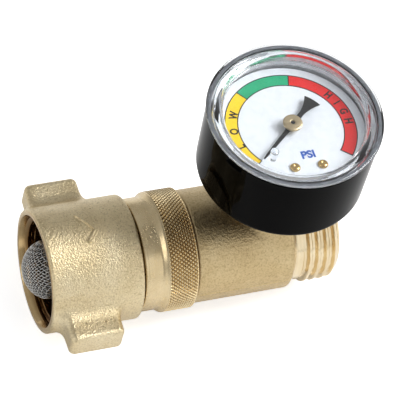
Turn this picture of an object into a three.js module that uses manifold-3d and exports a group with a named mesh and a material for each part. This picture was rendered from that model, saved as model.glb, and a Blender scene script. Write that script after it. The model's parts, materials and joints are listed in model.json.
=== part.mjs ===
// Inline water pressure reducing valve with a swivel inlet nut and a dial gauge.
// Millimetres. X runs along the flow, from the mouth of the inlet nut to the outlet.
// Z is up, along the stem of the gauge. The origin is the centre of the nut's mouth.
import * as THREE from 'three';
import Module from 'manifold-3d';

const wasm = await Module();
wasm.setup();

// ---- driving dimensions ----
const THREAD_PITCH = 2.209;        // 3/4 inch garden hose thread, 11.5 turns per inch
const MALE_THREAD_RADIUS = 13.4;
const MALE_ROOT_RADIUS = 12.3;
const FEMALE_MINOR_RADIUS = 12.35;
const FEMALE_MAJOR_RADIUS = 13.6;

const NUT_RADIUS = 15.45;
const NUT_LENGTH = 23.2;
const NUT_SHOULDER_X = 17.4;       // face the tailpiece flange pulls against
const NUT_LEAD_IN = 1.35;
const WING_TIP_RADIUS = 22.85;
const WING_THICKNESS = 7.4;
const WING_EDGE_RADIUS = 1.5;
const WING_START_X = 2.7;
const WING_END_X = 16.4;
const WING_ANGLE = 3.3;            // degrees above the horizontal plane

const NECK_START_X = 23.9;
const NECK_RADIUS = 14.06;
const KNURL_START_X = 29.9;
const KNURL_END_X = 36.4;
const KNURL_RADIUS = 15.05;
const SPIGOT_RADIUS = 11.6;
const SPIGOT_END_X = 42.5;
const STEM_BORE_RADIUS = 6.2;

const BODY_START_X = 37.4;
const BODY_END_X = 62.7;
const BODY_RADIUS = 14.12;
const CYLINDER_RADIUS = 10.4;      // bore the piston head runs in
const PISTON_STOP_X = 55.9;
const OUTLET_BORE_RADIUS = 9.2;
const OUTLET_END_X = 74.95;
const THREAD_START_X = 65.1;

const STEM_RADIUS = 6.0;
const STEM_TIP_X = 35.5;
const HEAD_START_X = 52.2;
const HEAD_END_X = 55.6;

const GAUGE_X = 58.45;
const BOSS_RADIUS = 6.3;
const BOSS_TOP_Z = 19.4;
const CASE_BACK_Z = 27.45;
const CASE_TOP_Z = 48.05;
const CASE_RADIUS = 20.65;
const CASE_RIM_RADIUS = 21.15;
const CASE_WALL = 1.1;
const LENS_RADIUS = 21.46;
const LENS_TOP_Z = 49.3;
const DIAL_Z = 42.3;
const DIAL_THICKNESS = 0.5;
const DIAL_RADIUS = 18.6;

const POINTER_REST = 220.5;        // degrees, counted anticlockwise from +X
const POINTER_TIP = 13.0;
const POINTER_TAIL = 9.9;
const STOP_PIN_RADIUS = 0.95;
const PINION_TEETH = 12;
const PINION_RADIUS = 0.9;
const SECTOR_RATIO = 8;            // sector pitch radius over pinion pitch radius
const SECTOR_TRAVEL = 32.75;       // degrees
const TUBE_RADIUS = 15.3;          // centre line of the pressure tube

const ROUND = 32;                  // facets on the large round outlines
const FINE = 20;                   // facets on the small ones

// ---- materials ----
const paint = (color, roughness, metalness) =>
  new THREE.MeshStandardMaterial({ color, roughness, metalness });
const castBrass = () => paint(0xb49a6a, 0.5, 0.9);
const turnedBrass = () => paint(0xc9a15c, 0.25, 1.0);
const bronze = () => paint(0xa8763c, 0.35, 1.0);
const steel = () => paint(0xb8babd, 0.3, 1.0);
const blackPaint = () => paint(0x0c0c0d, 0.15, 0.2);
const rubber = () => paint(0x17171a, 0.8, 0.0);
const dialWhite = () => paint(0xf2f3f4, 0.6, 0.0);
const clear = () => {
  const material = paint(0xf4f8fa, 0.05, 0.0);
  material.transparent = true;
  material.opacity = 0.3;
  return material;
};

// ---- solid helpers ----
const valve = new THREE.Group();
valve.name = 'pressure_reducing_valve';

// Weld the corners of a geometry and drop slivers, as a closed solid needs.
function solid(geometry) {
  const flat = geometry.index ? geometry.toNonIndexed() : geometry;
  const position = flat.attributes.position;
  const seen = new Map();
  const corners = [];
  const order = [];
  for (let i = 0; i < position.count; i += 1) {
    const xyz = [position.getX(i), position.getY(i), position.getZ(i)];
    const key = xyz.map((value) => Math.round(value * 1e4)).join();
    if (!seen.has(key)) {
      seen.set(key, corners.length / 3);
      corners.push(...xyz);
    }
    order.push(seen.get(key));
  }
  const triangles = [];
  let volume = 0;
  for (let i = 0; i < order.length; i += 3) {
    const [a, b, c] = order.slice(i, i + 3);
    if (a === b || b === c || a === c) continue;
    triangles.push([a, b, c]);
    const point = (n) => new THREE.Vector3(...corners.slice(n * 3, n * 3 + 3));
    volume += point(a).dot(point(b).cross(point(c)));
  }
  const outward = volume > 0 ? triangles : triangles.map(([a, b, c]) => [a, c, b]);
  return new wasm.Manifold(new wasm.Mesh({
    numProp: 3,
    vertProperties: new Float32Array(corners),
    triVerts: new Uint32Array(outward.flat()),
  }));
}

function add(name, shape, material) {
  const mesh = shape.getMesh();
  const geometry = new THREE.BufferGeometry();
  geometry.setAttribute('position', new THREE.BufferAttribute(mesh.vertProperties, 3));
  geometry.setIndex(new THREE.BufferAttribute(mesh.triVerts, 1));
  geometry.computeVertexNormals();
  const part = new THREE.Mesh(geometry, material);
  part.name = name;
  valve.add(part);
}

// Turn a profile of [along, radius] pairs round the X axis, or round a Z axis at (x, y).
function turned(profile, facets = ROUND) {
  const points = profile.map(([along, radius]) => new THREE.Vector2(radius, along));
  const onAxis = profile[0][1] === 0 && profile[profile.length - 1][1] === 0;
  if (!onAxis) points.push(points[0].clone());
  return new THREE.LatheGeometry(points, facets);
}
const turnedX = (profile, facets) => solid(turned(profile, facets).rotateZ(-Math.PI / 2));
const turnedZ = (profile, x, y, facets) =>
  solid(turned(profile, facets).rotateX(Math.PI / 2).translate(x, y, 0));

const rod = (radius, low, high) => [[low, 0], [low, radius], [high, radius], [high, 0]];
const tube = (outer, inner, low, high) =>
  [[low, inner], [low, outer], [high, outer], [high, inner]];
const rodZ = (radius, low, high, x, y, facets = FINE) =>
  turnedZ(rod(radius, low, high), x, y, facets);

function box(sizeX, sizeY, sizeZ, x, y, z) {
  return solid(new THREE.BoxGeometry(sizeX, sizeY, sizeZ).translate(x, y, z));
}

// A flat outline of [x, y] pairs given a thickness from low to high.
function plate(outline, low, high) {
  const shape = new THREE.Shape(outline.map(([x, y]) => new THREE.Vector2(x, y)));
  const geometry = new THREE.ExtrudeGeometry(shape, { depth: high - low, bevelEnabled: false });
  return solid(geometry.translate(0, 0, low));
}

function ringX(middleRadius, wire, x, facets = 24) {
  const profile = [];
  for (let i = 0; i < 6; i += 1) {
    const angle = (i * Math.PI) / 3;
    profile.push([x + wire * Math.sin(angle), middleRadius + wire * Math.cos(angle)]);
  }
  return turnedX(profile, facets);
}

const rad = (degrees) => (degrees * Math.PI) / 180;
const polar = (radius, degrees) => [radius * Math.cos(rad(degrees)), radius * Math.sin(rad(degrees))];
const onGauge = ([x, y]) => [GAUGE_X + x, y];

// Ridges and grooves of a thread, as a profile from start towards end.
function threadProfile(start, turns, crest, root) {
  const profile = [];
  for (let turn = 0; turn < turns; turn += 1) {
    const x = start + turn * THREAD_PITCH;
    profile.push([x, root], [x + THREAD_PITCH / 2, crest]);
  }
  return profile;
}

// ---- inlet: swivel nut, washer, screen, tailpiece ----
function wing(angle) {
  const half = WING_THICKNESS / 2;
  const section = [[13.9, -half]];
  for (const side of [-1, 1]) {
    for (let i = 0; i <= 3; i += 1) {
      const turn = rad(i * 30 + (side < 0 ? -90 : 0));
      section.push([WING_TIP_RADIUS - WING_EDGE_RADIUS * (1 - Math.cos(turn)),
        side * (half - WING_EDGE_RADIUS) + WING_EDGE_RADIUS * Math.sin(turn)]);
    }
  }
  section.push([13.9, half]);
  const length = WING_END_X - WING_START_X;
  return plate(section, 0, length)
    .rotate([90, 0, 90])
    .translate([WING_START_X, 0, 0])
    .rotate([angle, 0, 0]);
}

function inletNut() {
  const female = threadProfile(NUT_LEAD_IN, 5, FEMALE_MINOR_RADIUS, FEMALE_MAJOR_RADIUS);
  const body = turnedX([
    [0, 13.9], [0, 14.9], [0.55, NUT_RADIUS], [21.5, NUT_RADIUS], [22.3, 15.2], [22.8, 14.6],
    [NUT_LENGTH, 13.8], [NUT_LENGTH, 12.6], [20.0, 12.6], [20.0, 9.6],
    [NUT_SHOULDER_X, 9.6], [NUT_SHOULDER_X, 12.9], [12.6, 12.9],
    ...female.reverse(), [NUT_LEAD_IN, 13.25],
  ]);
  const markLeg = (fromX, fromAngle, toX, toAngle, width) => {
    const run = [toX - fromX, rad(toAngle - fromAngle) * NUT_RADIUS];
    const length = Math.hypot(...run);
    const lean = (Math.atan2(run[1], run[0]) * 180) / Math.PI;
    return box(length, width, 0.9, 0, 0, NUT_RADIUS - 0.25)
      .rotate([0, 0, -lean])
      .translate([(fromX + toX) / 2, 0, 0])
      .rotate([(fromAngle + toAngle) / 2 - 90, 0, 0]);
  };
  return body
    .add(wing(WING_ANGLE))
    .add(wing(WING_ANGLE + 180))
    .add(markLeg(9.5, 74, 13.0, 94, 0.6))
    .add(markLeg(13.0, 95, 10.8, 104, 0.8));
}
add('inlet_nut', inletNut(), castBrass());

add('hose_washer', turnedX(tube(12.0, 7.9, 11.2, 13.7), 36), rubber());

function screenDome() {
  const bulge = 7.15;
  const rise = 6.35;
  const centre = 3.3;
  const gauge = 0.35;
  const outer = [];
  const inner = [];
  for (let i = 0; i <= 5; i += 1) {
    const angle = rad(i * 18);
    outer.push([centre - rise * Math.cos(angle), bulge * Math.sin(angle)]);
    inner.push([centre - (rise - gauge) * Math.cos(angle), (bulge - gauge) * Math.sin(angle)]);
  }
  return turnedX([
    ...outer, [13.8, 7.3], [13.8, 11.0], [14.1, 11.0], [14.1, 6.95], ...inner.reverse(),
  ], 28);
}
add('inlet_screen', screenDome(), steel());

add('swivel_tailpiece', turnedX([
  [14.4, 6.8], [14.4, 11.9], [17.1, 11.9], [17.1, 9.3], [28.7, 9.3], [28.7, 6.8],
], 36), turnedBrass());

// ---- knurled inlet adapter and the parts inside it ----
add('inlet_adapter', turnedX([
  [NECK_START_X, 9.6], [NECK_START_X, 13.8], [24.15, NECK_RADIUS], [28.4, NECK_RADIUS],
  [29.6, 14.95], [KNURL_START_X, KNURL_RADIUS], [KNURL_END_X, KNURL_RADIUS],
  [37.2, 14.35], [37.2, SPIGOT_RADIUS], [39.9, SPIGOT_RADIUS], [39.9, 10.3],
  [41.4, 10.3], [41.4, SPIGOT_RADIUS], [SPIGOT_END_X, SPIGOT_RADIUS],
  [SPIGOT_END_X, STEM_BORE_RADIUS], [36.4, STEM_BORE_RADIUS], [36.4, 8.6],
  [29.1, 8.6], [29.1, 9.6],
]), turnedBrass());
add('adapter_seal', ringX(11.02, 0.62, 40.65), rubber());

function seatHolder() {
  let spider = turnedX([[29.4, 1.6], [29.4, 8.3], [31.3, 8.3], [31.3, 1.6]], 24);
  for (let i = 0; i < 3; i += 1) {
    const [y, z] = polar(5.6, 90 + i * 120);
    spider = spider.subtract(turnedX(rod(1.9, 29, 32), 12).translate([0, y, z]));
  }
  return spider;
}
add('seat_holder', seatHolder(), turnedBrass());
add('seat_disc', turnedX(tube(5.3, 1.6, 31.4, 33.2), 24), rubber());
add('seat_screw', turnedX([
  [29.5, 0], [29.5, 1.35], [33.3, 1.35], [33.3, 2.6], [34.2, 2.2], [34.2, 0],
], 16), steel());

// ---- piston, its seals and its spring ----
add('piston', turnedX([
  [STEM_TIP_X, 3.6], [STEM_TIP_X, 4.3], [36.3, STEM_RADIUS], [39.2, STEM_RADIUS], [39.2, 4.6],
  [40.9, 4.6], [40.9, STEM_RADIUS], [HEAD_START_X, STEM_RADIUS], [HEAD_START_X, 10.1],
  [52.9, 10.1], [52.9, 8.5], [54.9, 8.5], [54.9, 10.1], [HEAD_END_X, 10.1], [HEAD_END_X, 3.6],
], 28), turnedBrass());
add('stem_seal', ringX(5.4, 0.7, 40.05, 20), rubber());
add('head_seal', ringX(9.42, 0.82, 53.9), rubber());

class Helix extends THREE.Curve {
  constructor(start, end, radius, turns) {
    super();
    Object.assign(this, { start, end, radius, turns });
  }

  getPoint(t, target = new THREE.Vector3()) {
    const angle = 2 * Math.PI * this.turns * t;
    const x = this.start + (this.end - this.start) * t;
    return target.set(x, this.radius * Math.cos(angle), this.radius * Math.sin(angle));
  }
}

function circleShape(radius, facets) {
  const points = [];
  for (let i = 0; i < facets; i += 1) {
    points.push(new THREE.Vector2(...polar(radius, (i * 360) / facets)));
  }
  return new THREE.Shape(points);
}

function swept(curve, shape, steps) {
  return solid(new THREE.ExtrudeGeometry(shape, { steps, extrudePath: curve }));
}
add('main_spring', swept(new Helix(43.5, 51.3, 8.2, 4.25), circleShape(0.75, 5), 60), steel());

// ---- valve body with its gauge boss and outlet thread ----
function valveBody() {
  const outside = turnedX([
    [BODY_START_X, 0], [BODY_START_X, BODY_RADIUS], [61.9, BODY_RADIUS], [62.5, 13.8],
    [BODY_END_X, 13.2], [BODY_END_X, 12.4], [63.2, MALE_ROOT_RADIUS],
    ...threadProfile(THREAD_START_X + 0.8, 3, MALE_THREAD_RADIUS, MALE_ROOT_RADIUS),
    [72.55, MALE_ROOT_RADIUS], [73.5, 13.2], [OUTLET_END_X, 11.9], [OUTLET_END_X, 0],
  ]);
  const boss = turnedZ([
    [8, 0], [8, 7.4], [15.2, 7.4], [17.0, BOSS_RADIUS], [BOSS_TOP_Z, BOSS_RADIUS], [BOSS_TOP_Z, 0],
  ], GAUGE_X, 0, 32);
  const bore = turnedX([
    [37.0, 0], [37.0, 11.85], [43.2, 11.85], [43.2, CYLINDER_RADIUS],
    [PISTON_STOP_X, CYLINDER_RADIUS], [PISTON_STOP_X, OUTLET_BORE_RADIUS],
    [75.4, OUTLET_BORE_RADIUS], [75.4, 0],
  ]);
  const gaugePort = rodZ(5.3, 12.0, 20, GAUGE_X, 0).add(rodZ(1.7, 5, 13, GAUGE_X, 0, 12));
  const vent = rodZ(0.8, -15, -9, 48, 0, 10);
  return outside.add(boss).subtract(bore).subtract(gaugePort).subtract(vent);
}
add('valve_body', valveBody(), castBrass());

// ---- gauge socket: threaded stem, wrench square, block and arm ----
function gaugeSocket() {
  const stem = turnedZ([
    [12.3, 1.2], [12.3, 4.6], [12.8, 4.95], [19.7, 4.95], [19.7, 5.3], [28.85, 5.3],
    [28.85, 8.8], [33.9, 8.8], [33.9, 1.2],
  ], GAUGE_X, 0, 28);
  const square = box(11, 11, 6, GAUGE_X, 0, 23)
    .intersect(rodZ(7.2, 19, 27, GAUGE_X, 0, 32))
    .subtract(rodZ(4.0, 19, 27, GAUGE_X, 0, 12));
  const arm = box(10.5, 5.4, 4.6, 12.1, 0, 31.4).rotate([0, 0, -45]).translate([GAUGE_X, 0, 0]);
  let block = stem.add(square).add(arm);
  for (const side of [-1, 1]) {
    block = block.subtract(rodZ(1.15, 28, 32.8, GAUGE_X, side * 7.2, 10));
  }
  const crossHole = solid(new THREE.CylinderGeometry(0.7, 0.7, 12, 8).rotateZ(Math.PI / 2))
    .translate([6.6, 0, 31.4]).rotate([0, 0, -45]).translate([GAUGE_X, 0, 0]);
  return block.subtract(crossHole);
}
add('gauge_socket', gaugeSocket(), turnedBrass());

// ---- gauge case, its screws and its window ----
function gaugeCase() {
  const inner = CASE_RADIUS - CASE_WALL;
  const round = 1.5;
  const outside = [];
  for (let i = 0; i <= 3; i += 1) {
    const turn = rad(i * 30);
    outside.push([CASE_BACK_Z + round * (1 - Math.cos(turn)),
      CASE_RADIUS - round + round * Math.sin(turn)]);
  }
  let shell = turnedZ([
    [CASE_BACK_Z, 5.8], ...outside, [CASE_TOP_Z, CASE_RIM_RADIUS], [CASE_TOP_Z, inner + 0.4],
    [CASE_BACK_Z + CASE_WALL + 0.6, inner], [CASE_BACK_Z + CASE_WALL, inner - 0.6],
    [CASE_BACK_Z + CASE_WALL, 5.8],
  ], GAUGE_X, 0, ROUND);
  for (const side of [-1, 1]) {
    shell = shell.subtract(rodZ(1.2, 27, 29, GAUGE_X, side * 7.2, 10));
  }
  for (const angle of [-151, -31, 89]) {
    const crimp = box(1.0, 4.6, 1.3, CASE_RIM_RADIUS + 0.15, 0, 46.9);
    shell = shell.subtract(crimp.rotate([0, 0, angle]).translate([GAUGE_X, 0, 0]));
  }
  return shell;
}
add('gauge_case', gaugeCase(), blackPaint());

for (const [name, side] of [['case_screw_front', -1], ['case_screw_rear', 1]]) {
  add(name, turnedZ([
    [26.2, 0], [26.2, 1.6], [26.6, 1.9], [27.3, 1.9], [27.3, 0.95], [32.4, 0.95], [32.4, 0],
  ], GAUGE_X, side * 7.2, 14), steel());
}

add('lens_gasket', turnedZ(tube(20.9, 20.1, 48.1, 48.45), GAUGE_X, 0, ROUND), rubber());

// The window is one moulding with the pin that the pointer rests against. The pin stands
// just beyond the reach of the pointer's tail.
const stopPin = onGauge(polar(11.2, POINTER_REST + 7.2));
add('lens', turnedZ([
  [46.2, 0], [46.2, 17.9], [44.4, 18.1], [44.4, 19.3], [48.55, 19.5], [48.55, LENS_RADIUS],
  [49.0, LENS_RADIUS], [LENS_TOP_Z, 21.1], [LENS_TOP_Z, 19.4], [49.0, 18.1], [48.6, 17.6],
  [47.7, 17.2], [47.7, 0],
], GAUGE_X, 0, ROUND).add(rodZ(STOP_PIN_RADIUS, 43.1, 46.8, ...stopPin, 14)), clear());

// ---- gauge movement ----
class Arc extends THREE.Curve {
  constructor(radius, from, to, z) {
    super();
    Object.assign(this, { radius, from, to, z });
  }

  getPoint(t, target = new THREE.Vector3()) {
    const [x, y] = polar(this.radius, this.from + (this.to - this.from) * t);
    return target.set(GAUGE_X + x, y, this.z);
  }
}

function ovalShape(halfWide, halfHigh) {
  const points = [];
  for (let i = 0; i < 8; i += 1) {
    const [x, y] = polar(1, i * 45);
    points.push(new THREE.Vector2(halfWide * x, halfHigh * y));
  }
  return new THREE.Shape(points);
}
const TUBE_START = -33;
const TUBE_END = 219;
const TIP_ANGLE = 222.4;
add('bourdon_tube', swept(new Arc(TUBE_RADIUS, TUBE_START, TUBE_END, 34.8), ovalShape(2.4, 1.1), 28),
  bronze());

const tip = onGauge(polar(TUBE_RADIUS, TIP_ANGLE));
add('tube_tip', turnedZ([
  [33.2, 0], [33.2, 0.85], [37.3, 0.85], [37.3, 0.45], [38.3, 0.45], [38.3, 0],
], ...tip, 12), turnedBrass());

const SECTOR_X = -PINION_RADIUS * (SECTOR_RATIO + 1);
const TAIL_REACH = 3.2;

function gearTeeth(centre, rootRadius, tipRadius, step, from, count, towards) {
  const outline = [];
  for (let tooth = 0; tooth < count; tooth += 1) {
    const angle = from + tooth * step * towards;
    const corner = [[rootRadius, -0.3], [tipRadius, -0.12], [tipRadius, 0.12], [rootRadius, 0.3]];
    for (const [radius, share] of corner) {
      const [x, y] = polar(radius, angle + share * step * towards);
      outline.push([centre + x, y]);
    }
  }
  return outline;
}

function sectorGear() {
  const step = 360 / (PINION_TEETH * SECTOR_RATIO);
  const middle = -SECTOR_TRAVEL / 2;
  const teeth = 19;
  const pitch = PINION_RADIUS * SECTOR_RATIO;
  const first = middle - ((teeth - 1) / 2) * step;
  // a tooth of the sector points into a gap of the pinion on the line of centres
  const phase = Math.round(first / step) * step;
  const rim = gearTeeth(SECTOR_X, pitch - 0.22, pitch + 0.16, step, phase, teeth, 1);
  const tailAngle = 180 + middle;
  const arm = (radius, angle) => {
    const [x, y] = polar(radius, angle);
    return [SECTOR_X + x, y];
  };
  const outline = [
    ...rim, arm(1.3, middle + 90), arm(TAIL_REACH + 0.9, tailAngle - 12),
    arm(TAIL_REACH + 0.9, tailAngle + 12), arm(1.3, middle - 90),
  ].map(onGauge);
  const [tailX, tailY] = onGauge(arm(TAIL_REACH, tailAngle));
  return plate(outline, 36.4, 37.1)
    .add(rodZ(0.55, 34.4, 39.9, GAUGE_X + SECTOR_X, 0, 12))
    .add(rodZ(0.42, 36.5, 38.3, tailX, tailY, 10));
}
add('sector_gear', sectorGear(), turnedBrass());

function tipLink() {
  const pinX = GAUGE_X + SECTOR_X - TAIL_REACH * Math.cos(rad(SECTOR_TRAVEL / 2));
  const pinY = TAIL_REACH * Math.sin(rad(SECTOR_TRAVEL / 2));
  const bar = plate([
    [pinX - 1.1, pinY + 1.1], [tip[0] - 1.0, tip[1] - 1.0], [tip[0] + 1.0, tip[1] - 1.0],
    [pinX + 1.1, pinY + 1.1],
  ], 37.5, 37.9);
  return bar
    .subtract(rodZ(0.75, 37, 38.5, pinX, pinY, 12))
    .subtract(rodZ(0.6, 37, 38.5, ...tip, 12));
}
add('tip_link', tipLink(), turnedBrass());

function pointerArbor() {
  const step = 360 / PINION_TEETH;
  const teeth = gearTeeth(0, PINION_RADIUS - 0.24, PINION_RADIUS + 0.14, step, step / 2,
    PINION_TEETH, 1);
  return plate(teeth.map(onGauge), 36.1, 37.4).add(rodZ(0.5, 34.4, 44.35, GAUGE_X, 0, 12));
}
add('pointer_arbor', pointerArbor(), steel());

class Spiral extends THREE.Curve {
  getPoint(t, target = new THREE.Vector3()) {
    const [x, y] = polar(0.95 + 2.4 * t, 20 + 360 * 3.2 * t);
    return target.set(GAUGE_X + x, y, 38.4);
  }
}
const strip = new THREE.Shape([[-0.2, -0.05], [0.2, -0.05], [0.2, 0.05], [-0.2, 0.05]]
  .map(([x, y]) => new THREE.Vector2(x, y)));
add('hairspring', swept(new Spiral(), strip, 52), bronze());

const DIAL_SCREWS = [[-2.9, -11.7], [4.1, -12.0]];
const PILLARS = [[-1.6, -6.5], [-1.6, 6.5]];

function movementPlate(low, high, tongue) {
  const outline = [[-10.2, 7.6], [-10.2, -7.6]];
  if (tongue) outline.push([-5.0, -7.6], [-5.0, -13.3], [5.6, -13.3], [5.6, -7.6]);
  outline.push([2.6, -7.6], [2.6, 7.6]);
  let shape = plate(outline.map(onGauge), low, high);
  for (const x of [0, SECTOR_X]) {
    shape = shape.subtract(rodZ(0.75, low - 1, high + 1, GAUGE_X + x, 0, 12));
  }
  return shape;
}
add('movement_plate_lower', movementPlate(34.2, 35.0, true), turnedBrass());
add('movement_plate_upper', movementPlate(39.2, 40.0, false), turnedBrass());
PILLARS.map(onGauge).forEach(([x, y], i) => {
  add(`movement_pillar_${i + 1}`, rodZ(0.95, 35.05, 39.15, x, y, 14), turnedBrass());
});

// ---- dial, its fixings, and the pointer ----
DIAL_SCREWS.map(onGauge).forEach(([x, y], i) => {
  add(`dial_pillar_${i + 1}`, turnedZ([
    [35.05, 0], [35.05, 1.0], [42.25, 1.0], [42.25, 0.75], [40.5, 0.75], [40.5, 0],
  ], x, y, 14), turnedBrass());
  add(`dial_screw_${i + 1}`, turnedZ([
    [40.7, 0], [40.7, 0.55], [42.85, 0.55], [42.85, 1.25], [43.3, 1.25], [43.55, 0.9], [43.55, 0],
  ], x, y, 14), turnedBrass());
});

function dialPlate() {
  let disc = turnedZ(rod(DIAL_RADIUS, DIAL_Z, DIAL_Z + DIAL_THICKNESS), GAUGE_X, 0, ROUND);
  const hole = (radius, [x, y]) => rodZ(radius, DIAL_Z - 1, DIAL_Z + 2, x, y, 14);
  disc = disc.subtract(hole(1.0, [GAUGE_X, 0]));
  for (const screw of DIAL_SCREWS) {
    disc = disc.subtract(hole(0.7, onGauge(screw)));
  }
  return disc;
}
add('dial', dialPlate(), dialWhite());

function pointerBlade() {
  const tail = POINTER_TAIL;
  const outline = [
    [POINTER_TIP, 0.12], [11.6, 0.27], [2.2, 0.45], [1.9, 0.9], [0, 1.2], [-1.9, 0.8],
    [-4.8, 0.6], [-7.0, 0.95], [-tail * Math.cos(rad(11.5)), tail * Math.sin(rad(11.5))],
    [-tail - 0.05, 0],
  ];
  const mirrored = outline.slice(0, -1).reverse().map(([x, y]) => [x, -y]);
  const blade = plate([...outline, ...mirrored], 43.95, 44.2)
    .subtract(rodZ(0.65, 43, 45, 0, 0, 12));
  return blade.rotate([0, 0, POINTER_REST]).translate([GAUGE_X, 0, 0]);
}
add('pointer', pointerBlade(), paint(0x0a0a0a, 0.4, 0.1));

add('pointer_hub', turnedZ([
  [44.45, 0], [44.45, 2.3], [45.0, 2.4], [45.3, 2.2], [45.3, 0.45], [45.05, 0],
], GAUGE_X, 0, 28), turnedBrass());
add('hub_bush', turnedZ(tube(1.3, 0.65, 43.0, 43.85), GAUGE_X, 0, 16), turnedBrass());

export default valve;
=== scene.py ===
"""Looks of the pressure reducing valve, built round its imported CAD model.

All shapes are written in millimetres in the CAD model's frame and become metres in make().
The flow axis is X. An angle round it is counted from +Y towards +Z.
"""
import json
import math

import bmesh
import bpy
import numpy as np
from mathutils import Matrix, Vector


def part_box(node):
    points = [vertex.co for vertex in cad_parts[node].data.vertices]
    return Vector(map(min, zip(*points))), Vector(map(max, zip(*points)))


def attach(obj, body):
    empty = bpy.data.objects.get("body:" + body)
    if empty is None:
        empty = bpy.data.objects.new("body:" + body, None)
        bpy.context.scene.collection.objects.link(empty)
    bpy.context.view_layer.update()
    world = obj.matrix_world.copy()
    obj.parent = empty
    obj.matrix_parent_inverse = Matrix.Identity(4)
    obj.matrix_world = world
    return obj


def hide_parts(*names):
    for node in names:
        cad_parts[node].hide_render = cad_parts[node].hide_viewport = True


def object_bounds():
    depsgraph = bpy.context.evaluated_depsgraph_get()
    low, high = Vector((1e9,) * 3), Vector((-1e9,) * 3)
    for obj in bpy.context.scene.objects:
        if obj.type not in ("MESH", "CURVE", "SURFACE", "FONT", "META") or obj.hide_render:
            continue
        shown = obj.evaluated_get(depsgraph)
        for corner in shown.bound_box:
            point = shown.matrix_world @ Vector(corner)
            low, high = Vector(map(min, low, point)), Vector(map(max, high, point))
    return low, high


MM = 0.001
TAU = 2 * math.pi

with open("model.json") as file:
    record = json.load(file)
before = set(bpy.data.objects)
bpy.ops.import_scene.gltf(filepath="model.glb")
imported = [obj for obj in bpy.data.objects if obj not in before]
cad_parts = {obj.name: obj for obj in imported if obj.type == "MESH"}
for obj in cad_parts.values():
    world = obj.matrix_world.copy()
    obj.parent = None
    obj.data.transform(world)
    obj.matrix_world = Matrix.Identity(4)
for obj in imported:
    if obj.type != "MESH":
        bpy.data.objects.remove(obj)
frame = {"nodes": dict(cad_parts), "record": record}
cad_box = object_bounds()


def span(node, axis):
    """Lowest and highest value of a CAD node along one axis, in millimetres."""
    low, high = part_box(node)
    return low[axis] / MM, high[axis] / MM


# ---- main dimensions ----
NUT_END = span("inlet_nut", 0)[1]
BODY_END = span("valve_body", 0)[1]
BODY_START = span("valve_body", 0)[0]
GAUGE_X = sum(span("gauge_case", 0)) / 2
CASE_BACK = span("gauge_case", 2)[0]
CASE_TOP = span("gauge_case", 2)[1]
LENS_TOP = span("lens", 2)[1]
DIAL_TOP = span("dial", 2)[1]
HUB_TOP = span("pointer_hub", 2)[1]
POINTER_LOW, POINTER_TOP = span("pointer", 2)

NUT_RADIUS = 15.45
NUT_SLEEVE = 13.97           # where the cast skin meets the machined lining
WING_ANGLE = math.radians(3.3)
BODY_RADIUS = 14.12
THREAD_PITCH = 2.209
POINTER_REST = 220.5         # degrees about the gauge's axis, counted from +X towards +Y


# ---- mesh helpers ----
def make(name, verts, faces, material, body, slot, nodes, sharp=32):
    """A mesh object from millimetre vertices, riding on a body in place of CAD nodes."""
    mesh = bpy.data.meshes.new(name)
    mesh.from_pydata((np.asarray(verts, float) * MM).tolist(), [], faces)
    work = bmesh.new()
    work.from_mesh(mesh)
    bmesh.ops.remove_doubles(work, verts=work.verts, dist=1e-7)
    bmesh.ops.dissolve_degenerate(work, edges=work.edges, dist=1e-8)
    bmesh.ops.recalc_face_normals(work, faces=work.faces)
    work.to_mesh(mesh)
    work.free()
    mesh.polygons.foreach_set("use_smooth", [True] * len(mesh.polygons))
    mesh.set_sharp_from_angle(angle=math.radians(sharp))
    mesh.materials.append(material)
    obj = bpy.data.objects.new(name, mesh)
    bpy.context.scene.collection.objects.link(obj)
    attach(obj, body)
    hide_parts(*nodes)
    return obj


def eased(profile, radius=0.12, closed=True, steps=3):
    """The outline with each corner turned into a small curve."""
    points = [np.array(p, float) for p in profile]
    count = len(points)
    out = []
    for i, p in enumerate(points):
        if not closed and i in (0, count - 1):
            out.append(p)
            continue
        to_a, to_b = points[i - 1] - p, points[(i + 1) % count] - p
        len_a, len_b = np.linalg.norm(to_a), np.linalg.norm(to_b)
        a = p + to_a / len_a * min(radius, 0.45 * len_a)
        b = p + to_b / len_b * min(radius, 0.45 * len_b)
        for k in range(steps + 1):
            t = k / steps
            out.append((1 - t) ** 2 * a + 2 * t * (1 - t) * p + t * t * b)
    return out


def revolve(profile, segments=160, closed=True, shape=None, centre=None):
    """Vertices and faces of an [along, radius] outline turned round X, or round Z at centre."""
    profile = np.asarray(profile, float)
    theta = np.arange(segments) * TAU / segments
    along = np.repeat(profile[:, :1], segments, 1)
    radius = np.repeat(profile[:, 1:], segments, 1)
    if shape:
        radius = shape(along, radius, theta[None, :])
    across, up = radius * np.cos(theta), radius * np.sin(theta)
    if centre is None:
        verts = np.stack([along, across, up], -1)
    else:
        verts = np.stack([across + centre[0], up + centre[1], along], -1)
    rows = len(profile)
    faces = []
    for i in range(rows if closed else rows - 1):
        here, there = i * segments, (i + 1) % rows * segments
        for j in range(segments):
            k = (j + 1) % segments
            faces.append((here + j, here + k, there + k, there + j))
    return verts.reshape(-1, 3), faces


def join(*pieces):
    """Several (vertices, faces) pairs as one."""
    verts, faces, base = [], [], 0
    for part_verts, part_faces in pieces:
        part_verts = np.asarray(part_verts, float).reshape(-1, 3)
        verts.append(part_verts)
        faces += [tuple(i + base for i in face) for face in part_faces]
        base += len(part_verts)
    return np.concatenate(verts), faces


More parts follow.
